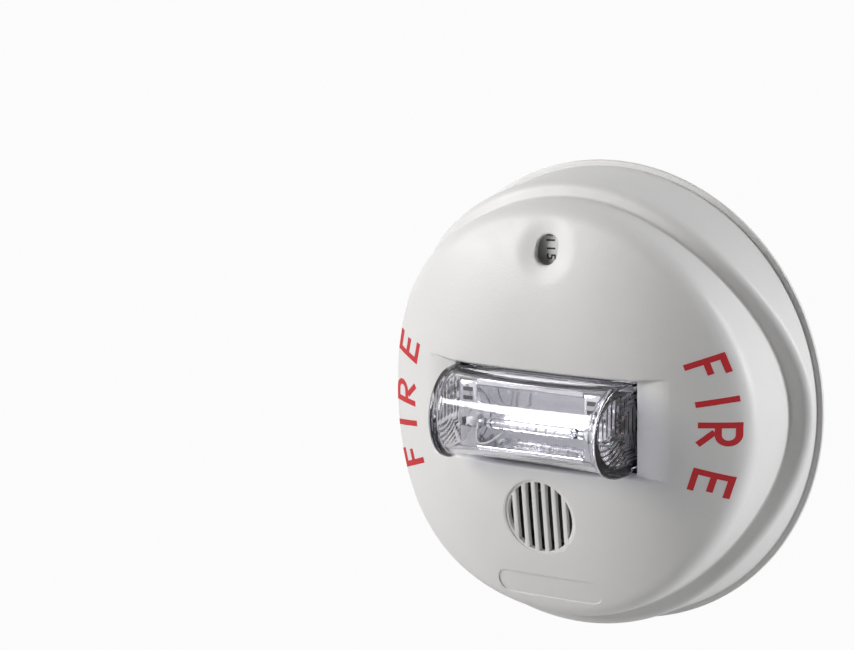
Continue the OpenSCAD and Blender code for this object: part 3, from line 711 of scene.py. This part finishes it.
def letter_strokes(letter, w, h, s):
    """Centre lines of a plain block letter of width w, height h and stroke s."""
    m = s / 2
    stem = straight((m, 0), (m, h))
    top_bar = straight((s, h - m), (w, h - m))
    if letter == "F":
        return [stem, top_bar, straight((s, h * 0.53), (w - 1.1, h * 0.53))]
    if letter == "I":
        return [stem]
    if letter == "E":
        return [stem, top_bar, straight((s, h * 0.52), (w - 0.9, h * 0.52)), straight((s, m), (w, m))]
    top, low = h - m, h * 0.46
    bulge = (top - low) / 2
    flat = w - m - bulge
    arc = [(flat + bulge * math.cos(a), low + bulge + bulge * math.sin(a))
           for a in np.linspace(np.pi / 2, -np.pi / 2, 15)]
    bowl = np.vstack([straight((s, top), (flat, top), 5)[:-1], arc, straight((flat, low), (s, low), 5)[1:]])
    leg = straight((flat - 1.0, low - m), (w - m + 0.4, 0))
    return [stem, bowl, leg]


def quad_strip(base, n):
    """Faces of a thin slab: two layers of three rows of n points, numbered from base."""
    def at(layer, row, i):
        return base + layer * 3 * n + row * n + i
    faces = []
    for i in range(n - 1):
        for row in range(2):
            faces.append((at(0, row, i), at(0, row, i + 1), at(0, row + 1, i + 1), at(0, row + 1, i)))
            faces.append((at(1, row, i), at(1, row + 1, i), at(1, row + 1, i + 1), at(1, row, i + 1)))
        for row in (0, 2):
            faces.append((at(0, row, i), at(1, row, i), at(1, row, i + 1), at(0, row, i + 1)))
    for i in (0, n - 1):
        for row in range(2):
            faces.append((at(0, row, i), at(0, row + 1, i), at(1, row + 1, i), at(1, row, i)))
    return faces


def printed_letter(name, letter, start, word_angle, material):
    """Thin printed letter on the crown: its foot faces the centre and it reads clockwise."""
    thick, width = 0.05, LETTER_W[letter]
    middle_r = LETTER_FOOT_R + LETTER_H / 2
    angle = math.radians(word_angle + start) - width / 2 / middle_r
    up = np.array([math.cos(angle), math.sin(angle)])
    right = np.array([math.sin(angle), -math.cos(angle)])
    points, faces = [], []
    for centre in letter_strokes(letter, width, LETTER_H, LETTER_STROKE):
        left, other = stroke(centre, LETTER_STROKE)
        across = np.array([left * (1 - f) + other * f for f in (0, 0.5, 1)])
        plane = across[..., :1] * right + across[..., 1:] * up + LETTER_FOOT_R * up - width / 2 * right
        top = np.concatenate([plane, (crown(plane[..., 0], plane[..., 1]) + thick)[..., None]], -1)
        low = top - (0, 0, 2 * thick)
        faces += quad_strip(len(points), top.shape[1])
        points += list(top.reshape(-1, 3)) + list(low.reshape(-1, 3))
    return piece(new_object(name, points, faces, material))


def printed_words(material):
    """The same word on both sides, from each letter's angle about the middle of the word."""
    places = (("F", 23.6), ("I", 10.6), ("R", 3.2), ("E", -12.6))
    for side, word_angle in (("right", 0), ("left", 180)):
        for order, (letter, start) in enumerate(places):
            printed_letter(f"print_{side}_{order}", letter, start, word_angle, material)


def dial_figures(material):
    """Brightness settings printed on the dial, each read from the rim inwards."""
    for i, value in enumerate(CANDELA):
        angle = math.radians(90 + FIGURE_TURN + (i - SHOWN) * CANDELA_STEP)
        text = bpy.data.curves.new(f"figure_{value}", "FONT")
        text.body = str(value)
        text.align_x, text.align_y = "CENTER", "CENTER"
        text.size, text.extrude, text.offset = 0.0050, 0.00003, 0.00006
        text.space_character = 1.18
        source = bpy.data.objects.new("figure_source", text)
        mesh = bpy.data.meshes.new_from_object(source)
        bpy.data.objects.remove(source)
        figure = bpy.data.objects.new(f"dial_figure_{value}", mesh)
        bpy.context.scene.collection.objects.link(figure)
        x, y = FIGURE_R * math.cos(angle), DIAL_Y + FIGURE_R * math.sin(angle)
        place = to_world((x, y, DIAL_TOP + 0.02))
        turn = Matrix.Rotation(math.pi / 2, 4, "X") @ Matrix.Rotation(angle + math.pi, 4, "Z")
        mesh.transform(Matrix.Translation(Vector(place)) @ turn)
        mesh.materials.clear()
        mesh.materials.append(material)
        piece(figure, body="candela_selector")


# ---- Materials -------------------------------------------------------------

def start_material(name):
    """New material with an output, a principled shader and the object's coordinates."""
    material = bpy.data.materials.new(name)
    material.use_nodes = True
    tree = material.node_tree
    tree.nodes.clear()
    output = tree.nodes.new("ShaderNodeOutputMaterial")
    shader = tree.nodes.new("ShaderNodeBsdfPrincipled")
    tree.links.new(shader.outputs[0], output.inputs["Surface"])
    place = tree.nodes.new("ShaderNodeTexCoord").outputs["Object"]
    return material, tree, shader, place


def noise(tree, place, size_mm, detail):
    """Value of a noise whose lumps are about size_mm across."""
    node = tree.nodes.new("ShaderNodeTexNoise")
    node.inputs["Scale"].default_value = 1000 / size_mm
    node.inputs["Detail"].default_value = detail
    tree.links.new(place, node.inputs["Vector"])
    return node.outputs["Fac"]


def cells(tree, place, size_mm):
    """Value of a pattern of soft cells about size_mm across."""
    node = tree.nodes.new("ShaderNodeTexVoronoi")
    node.feature = "SMOOTH_F1"
    node.inputs["Scale"].default_value = 1000 / size_mm
    tree.links.new(place, node.inputs["Vector"])
    return node.outputs["Distance"]


def spread(tree, value, low, high):
    """Maps a noise's middle range to low..high."""
    node = tree.nodes.new("ShaderNodeMapRange")
    node.inputs["From Min"].default_value = 0.3
    node.inputs["From Max"].default_value = 0.7
    node.inputs["To Min"].default_value = low
    node.inputs["To Max"].default_value = high
    tree.links.new(value, node.inputs["Value"])
    return node.outputs["Result"]


def tint(tree, value, first, second):
    """Colour between first and second by a noise's value."""
    node = tree.nodes.new("ShaderNodeValToRGB")
    node.color_ramp.elements[0].position = 0.3
    node.color_ramp.elements[1].position = 0.7
    node.color_ramp.elements[0].color = (*first, 1)
    node.color_ramp.elements[1].color = (*second, 1)
    tree.links.new(value, node.inputs["Fac"])
    return node.outputs["Color"]


def bump(tree, value, depth_mm, below=None):
    """Normal that raises value by depth_mm, on top of the bump below."""
    node = tree.nodes.new("ShaderNodeBump")
    node.inputs["Distance"].default_value = depth_mm * 0.001
    node.inputs["Strength"].default_value = 1.0
    tree.links.new(value, node.inputs["Height"])
    if below:
        tree.links.new(below, node.inputs["Normal"])
    return node.outputs["Normal"]


def shade(colour, factor):
    """Colour made darker or lighter by factor."""
    return tuple(c * factor for c in colour)


def moulded(name, colour, roughness, grain_mm, depth_mm, patch=0.04):
    """Moulded plastic: fine grain, slow changes of tone and slightly uneven gloss."""
    material, tree, shader, place = start_material(name)
    tone = noise(tree, place, 35, 4)
    tree.links.new(tint(tree, tone, shade(colour, 1 - patch), shade(colour, 1 + patch / 2)),
                   shader.inputs["Base Color"])
    gloss = noise(tree, place, 9, 3)
    tree.links.new(spread(tree, gloss, roughness - 0.05, roughness + 0.05), shader.inputs["Roughness"])
    coarse = bump(tree, cells(tree, place, grain_mm), depth_mm)
    fine = bump(tree, noise(tree, place, grain_mm * 0.45, 2), depth_mm * 0.5, coarse)
    tree.links.new(fine, shader.inputs["Normal"])
    return material


def metal(name, colour, roughness, stretch=(1, 1, 1), grain_mm=0.5, depth_mm=0.006, patch=0.12):
    """Metal with drawn or rolled marks along the axis that is stretched least."""
    material, tree, shader, place = start_material(name)
    mapping = tree.nodes.new("ShaderNodeMapping")
    mapping.inputs["Scale"].default_value = stretch
    tree.links.new(place, mapping.inputs["Vector"])
    marks = noise(tree, mapping.outputs["Vector"], grain_mm, 3)
    tree.links.new(tint(tree, noise(tree, place, 6, 3), shade(colour, 1 - patch), colour),
                   shader.inputs["Base Color"])
    tree.links.new(spread(tree, marks, max(0.02, roughness - 0.07), roughness + 0.07),
                   shader.inputs["Roughness"])
    tree.links.new(bump(tree, marks, depth_mm), shader.inputs["Normal"])
    shader.inputs["Metallic"].default_value = 1.0
    return material


def clear(name, colour, ior, roughness, haze_mm, absorb, density):
    """Clear plastic or glass: bends light, tints it with depth, and lets lamps through."""
    material, tree, shader, place = start_material(name)
    shader.inputs["Transmission Weight"].default_value = 1.0
    shader.inputs["Base Color"].default_value = (*colour, 1)
    shader.inputs["IOR"].default_value = ior
    tree.links.new(spread(tree, noise(tree, place, 14, 3), roughness, roughness + 0.02),
                   shader.inputs["Roughness"])
    tree.links.new(bump(tree, noise(tree, place, 5, 2), haze_mm), shader.inputs["Normal"])
    output = shader.outputs[0].links[0].to_node
    see_through = tree.nodes.new("ShaderNodeBsdfTransparent")
    see_through.inputs["Color"].default_value = (0.70, 0.70, 0.73, 1)
    mix = tree.nodes.new("ShaderNodeMixShader")
    tree.links.new(tree.nodes.new("ShaderNodeLightPath").outputs["Is Shadow Ray"], mix.inputs["Fac"])
    tree.links.new(shader.outputs[0], mix.inputs[1])
    tree.links.new(see_through.outputs[0], mix.inputs[2])
    tree.links.new(mix.outputs[0], output.inputs["Surface"])
    volume = tree.nodes.new("ShaderNodeVolumeAbsorption")
    volume.inputs["Color"].default_value = (*absorb, 1)
    volume.inputs["Density"].default_value = density
    tree.links.new(volume.outputs[0], output.inputs["Volume"])
    return material


def circuit_board_material():
    """Green solder mask over slightly raised tracks."""
    material, tree, shader, place = start_material("board_mask")
    brick = tree.nodes.new("ShaderNodeTexBrick")
    brick.inputs["Scale"].default_value = 220
    brick.inputs["Mortar Size"].default_value = 0.03
    brick.inputs["Color1"].default_value = (0.010, 0.085, 0.040, 1)
    brick.inputs["Color2"].default_value = (0.012, 0.100, 0.048, 1)
    brick.inputs["Mortar"].default_value = (0.022, 0.160, 0.075, 1)
    mapping = tree.nodes.new("ShaderNodeMapping")
    mapping.inputs["Rotation"].default_value = (math.pi / 2, 0, 0)
    tree.links.new(place, mapping.inputs["Vector"])
    tree.links.new(mapping.outputs["Vector"], brick.inputs["Vector"])
    tree.links.new(brick.outputs["Color"], shader.inputs["Base Color"])
    tree.links.new(bump(tree, brick.outputs["Fac"], 0.03), shader.inputs["Normal"])
    shader.inputs["Roughness"].default_value = 0.32
    return material


def wound(name, colour, pitch_mm):
    """Enamelled wire laid in close turns, with painted shade in the grooves between the turns."""
    material, tree, shader, place = start_material(name)
    wave = tree.nodes.new("ShaderNodeTexWave")
    wave.bands_direction = "Z"
    wave.inputs["Scale"].default_value = 1000 / pitch_mm / 20 * math.pi
    wave.inputs["Distortion"].default_value = 0.3
    tree.links.new(place, wave.inputs["Vector"])
    # Darker bands where the wave is low, in the grooves between turns: painted shade.
    tree.links.new(tint(tree, wave.outputs["Fac"], shade(colour, 0.55), colour),
                   shader.inputs["Base Color"])
    tree.links.new(bump(tree, wave.outputs["Fac"], 0.12), shader.inputs["Normal"])
    shader.inputs["Metallic"].default_value = 0.9
    shader.inputs["Roughness"].default_value = 0.3
    return material


def sleeve(name, colour):
    """Shrink sleeve with fine wrinkles along it, and painted shade in their hollows."""
    material, tree, shader, place = start_material(name)
    mapping = tree.nodes.new("ShaderNodeMapping")
    mapping.inputs["Scale"].default_value = (1, 1, 0.15)
    tree.links.new(place, mapping.inputs["Vector"])
    wrinkles = noise(tree, mapping.outputs["Vector"], 1.2, 3)
    # The colour darkens where the wrinkles' bump is low: painted shade in their hollows.
    tree.links.new(tint(tree, wrinkles, shade(colour, 0.85), colour), shader.inputs["Base Color"])
    tree.links.new(bump(tree, wrinkles, 0.05), shader.inputs["Normal"])
    shader.inputs["Roughness"].default_value = 0.28
    return material


def make_materials():
    """All materials, by the names that the pieces below use."""
    white = (0.80, 0.795, 0.78)
    return {
        "cover": moulded("cover_plastic", white, 0.42, 0.9, 0.035, 0.02),
        "print": moulded("red_print", (0.62, 0.022, 0.030), 0.42, 0.9, 0.03, 0.08),
        "figure": moulded("figure_print", (0.035, 0.035, 0.038), 0.5, 0.4, 0.004),
        "lens": clear("lens_plastic", (0.985, 0.98, 1.0), 1.585, 0.0, 0.012, (0.52, 0.46, 0.84), 11),
        "tube": clear("tube_glass", (1, 1, 1), 1.47, 0.0, 0.004, (0.9, 0.95, 0.95), 2),
        "mirror": metal("mirror_film", (0.93, 0.93, 0.95), 0.09, (0.2, 1, 1), 2.5, 0.03, 0.04),
        "steel": metal("steel", (0.62, 0.63, 0.65), 0.28, (1, 1, 4)),
        "brass": metal("brass", (0.78, 0.58, 0.25), 0.30, (1, 4, 1)),
        "wire": metal("nickel_wire", (0.70, 0.70, 0.72), 0.22, grain_mm=0.3),
        "bead": moulded("pale_bead", (0.88, 0.88, 0.87), 0.18, 1.4, 0.03),
        "white": moulded("white_plastic", (0.78, 0.78, 0.76), 0.38, 0.6, 0.012),
        # The dial's white is lighter than white_plastic: painted light that makes up for the shade in the
        # window.
        "dial": moulded("dial_plastic_painted_light", (0.90, 0.90, 0.89), 0.38, 0.6, 0.012),
        "black": moulded("black_plastic", (0.028, 0.028, 0.030), 0.45, 0.6, 0.02, 0.12),
        "foam": moulded("foam", (0.045, 0.045, 0.048), 0.85, 0.35, 0.09, 0.2),
        "insulation": moulded("lead_insulation", (0.85, 0.85, 0.83), 0.3, 0.8, 0.008),
        "red_insulation": moulded("red_insulation", (0.50, 0.02, 0.02), 0.35, 0.8, 0.008),
        "board": circuit_board_material(),
        "sleeve": sleeve("capacitor_sleeve", (0.030, 0.036, 0.110)),
        "winding": wound("copper_winding", (0.72, 0.32, 0.14), 0.35),
        "tape": moulded("transformer_tape", (0.62, 0.48, 0.16), 0.35, 1.2, 0.02),
        "ceramic": moulded("ceramic_face", (0.72, 0.68, 0.55), 0.6, 0.3, 0.02),
    }


CAD_MATERIALS = {
    "white": ("mounting_plate", "lock_latch", "selector_shaft", "tone_slider", "volume_slider",
              "reflector_carrier"),
    # The dial gets the lighter white, which is painted light for the shade under the window.
    "dial": ("candela_dial",),
    "black": ("terminal_block", "rear_housing", "selector_switch", "tone_switch", "volume_switch",
              "horn_chamber", "horn_baffle", "driver_chips"),
    "steel": ("terminal_screws", "housing_screws", "board_screws"),
    "brass": ("terminal_clamps", "contact_sockets", "contact_blades", "piezo_disc"),
    "foam": ("lens_gasket", "horn_gasket"),
    "board": ("circuit_board",),
    "sleeve": ("storage_capacitor",),
    "tape": ("trigger_transformer",),
    "winding": ("inductor",),
    "ceramic": ("piezo_ceramic",),
    "red_insulation": ("piezo_leads",),
}


def dress_cad(materials):
    """Gives each CAD node that stays visible its material."""
    for key, names in CAD_MATERIALS.items():
        for name in names:
            mesh = NODES[name].data
            mesh.materials.clear()
            mesh.materials.append(materials[key])


# ---- Stage, light and camera -----------------------------------------------

def glow(tree, kind, colour):
    """Plain light of one colour."""
    node = tree.nodes.new(kind)
    node.inputs["Color"].default_value = (*colour, 1)
    return node.outputs[0]


def by_ray(tree, in_glass, on_paint, seen, output):
    """Shows one shader in glass and metal, another in the light on paint, and a third to the camera."""
    ray = tree.nodes.new("ShaderNodeLightPath")
    current = in_glass
    for test, shader in (("Diffuse Depth", on_paint), ("Is Camera Ray", seen)):
        mix = tree.nodes.new("ShaderNodeMixShader")
        tree.links.new(ray.outputs[test], mix.inputs["Fac"])
        tree.links.new(current, mix.inputs[1])
        tree.links.new(shader, mix.inputs[2])
        current = mix.outputs[0]
    tree.links.new(current, output.inputs["Surface"])


def floor():
    """Pale painted floor, plain white to the camera and grey in reflections."""
    size = FLOOR_HALF
    rings = [[(-size, y, -size), (size, y, -size), (size, y, size), (-size, y, size)]
             for y in (FLOOR_Y, FLOOR_Y - FLOOR_THICK)]
    material = moulded("floor_paint", (0.72, 0.72, 0.72), 0.7, 4, 0.05, 0.01)
    tree = material.node_tree
    output = next(n for n in tree.nodes if n.type == "OUTPUT_MATERIAL")
    shader = next(n for n in tree.nodes if n.type == "BSDF_PRINCIPLED")
    in_glass = glow(tree, "ShaderNodeEmission", (0.45, 0.45, 0.46))
    seen = glow(tree, "ShaderNodeEmission", (0.97, 0.97, 0.97))
    by_ray(tree, in_glass, shader.outputs[0], seen, output)
    loft("floor", rings, material)


def direction(azimuth, elevation):
    """Unit vector from the strobe. Azimuth 0 is straight in front, + to its right, in degrees."""
    a, e = math.radians(azimuth), math.radians(elevation)
    return Vector((math.sin(a) * math.cos(e), -math.cos(a) * math.cos(e), math.sin(e)))


def lamp(name, azimuth, elevation, distance, size, power, colour):
    """Soft rectangular lamp aimed at the strobe."""
    light = bpy.data.lights.new(name, "AREA")
    light.shape = "RECTANGLE"
    light.size, light.size_y = size
    light.energy = power
    light.color = colour
    obj = bpy.data.objects.new(name, light)
    out = direction(azimuth, elevation)
    obj.location = out * distance
    obj.rotation_euler = out.to_track_quat("Z", "Y").to_euler()
    bpy.context.scene.collection.objects.link(obj)


def backdrop_shade(tree, side, left, right):
    """Backdrop light that fades from left to right."""
    ramp = tree.nodes.new("ShaderNodeValToRGB")
    ramp.color_ramp.elements[0].color = (left, left, left * 1.02, 1)
    ramp.color_ramp.elements[1].color = (right, right, right * 1.05, 1)
    tree.links.new(side, ramp.inputs["Fac"])
    shader = tree.nodes.new("ShaderNodeBackground")
    tree.links.new(ramp.outputs["Color"], shader.inputs["Color"])
    return shader.outputs[0]


def sky():
    """White backdrop; it lights the strobe dimly and shows brighter in glass and metal."""
    world = bpy.data.worlds.new("studio")
    bpy.context.scene.world = world
    world.use_nodes = True
    tree = world.node_tree
    tree.nodes.clear()
    output = tree.nodes.new("ShaderNodeOutputWorld")
    place = tree.nodes.new("ShaderNodeTexCoord")
    split = tree.nodes.new("ShaderNodeSeparateXYZ")
    tree.links.new(place.outputs["Generated"], split.inputs[0])
    side = tree.nodes.new("ShaderNodeMapRange")
    side.inputs["From Min"].default_value = -1
    side.inputs["From Max"].default_value = 1
    tree.links.new(split.outputs["X"], side.inputs["Value"])
    in_glass = backdrop_shade(tree, side.outputs["Result"], 1.0, 0.50)
    on_paint = backdrop_shade(tree, side.outputs["Result"], 0.17, 0.02)
    by_ray(tree, in_glass, on_paint, glow(tree, "ShaderNodeBackground", (1, 1, 1)), output)


def camera():
    """Camera in front of the strobe, to its right and a little above it."""
    data = bpy.data.cameras.new("camera")
    data.sensor_width, data.lens = 36, 113.35
    data.shift_x, data.shift_y = -0.218, 0.0773
    obj = bpy.data.objects.new("camera", data)
    out = direction(CAMERA_AZIMUTH, CAMERA_ELEVATION)
    obj.location = out * CAMERA_DISTANCE
    obj.rotation_euler = out.to_track_quat("Z", "Y").to_euler()
    bpy.context.scene.collection.objects.link(obj)
    bpy.context.scene.camera = obj


def studio():
    """Floor, backdrop, two soft lamps and the camera."""
    floor()
    sky()
    lamp("key", -47, 25, 1.5, (0.8, 0.8), 18.5, (1.0, 0.995, 0.985))
    lamp("side_strip", 112, 14, 1.2, (0.25, 1.0), 12, (0.98, 0.98, 1.0))
    camera()
    bpy.context.scene.view_settings.view_transform = "Standard"


materials = make_materials()
dress_cad(materials)
cover(materials["cover"])
lens(materials["lens"])
trough(materials["mirror"])
tower(-1, materials["mirror"])
tower(1, materials["mirror"])
flash_tube(materials["tube"])
electrodes(materials["steel"], materials["bead"])
trigger_winding(materials["wire"])
tube_leads(materials["insulation"])
latch_spring(materials["steel"])
printed_words(materials["print"])
dial_figures(materials["figure"])
studio()
